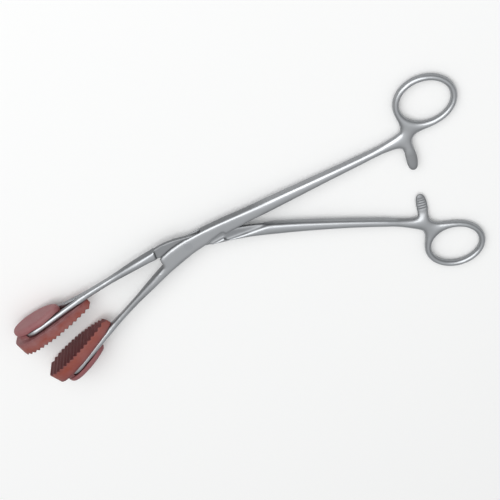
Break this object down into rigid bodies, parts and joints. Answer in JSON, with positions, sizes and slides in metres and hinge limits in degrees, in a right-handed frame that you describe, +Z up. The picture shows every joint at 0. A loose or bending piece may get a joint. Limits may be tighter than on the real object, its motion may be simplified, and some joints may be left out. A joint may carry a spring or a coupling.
{
  "type": "uterine holding forceps",
  "caption": "Ring-handled holding forceps with a box lock, ratchet arms and long looped jaws that carry ribbed rubber inserts.",
  "frame": {"origin": "centre of the pivot pin's lower end, in the ground lower face of the box lock", "axes": "+X from the pin toward the finger rings, along the forceps; +Z up from the table it lies on, 1.8 degrees from the pin's axis"},
  "size_m": [0.2658, 0.1299, 0.0192],
  "materials": {
    "box_arm_steel": "satin polished stainless steel",
    "tongue_arm_steel": "satin polished stainless steel",
    "pivot_pin_steel": "ground stainless steel",
    "box_jaw_rubber": "moulded brick red rubber",
    "tongue_jaw_rubber": "moulded brick red rubber"
  },
  "bodies": {
    "box_side": {"box_arm": "box_arm_steel", "pivot_pin": "pivot_pin_steel", "box_jaw_insert": "box_jaw_rubber"},
    "tongue_side": {"tongue_arm": "tongue_arm_steel", "tongue_jaw_insert": "tongue_jaw_rubber"}
  },
  "joints": [
    {"name": "box_lock", "type": "hinge", "parent": "box_side", "child": "tongue_side", "pos_m": [0.00009, 0, 0.0029], "axis": [0.0306, 0, 0.9995], "range_deg": [-30, 8.7]}
  ]
}
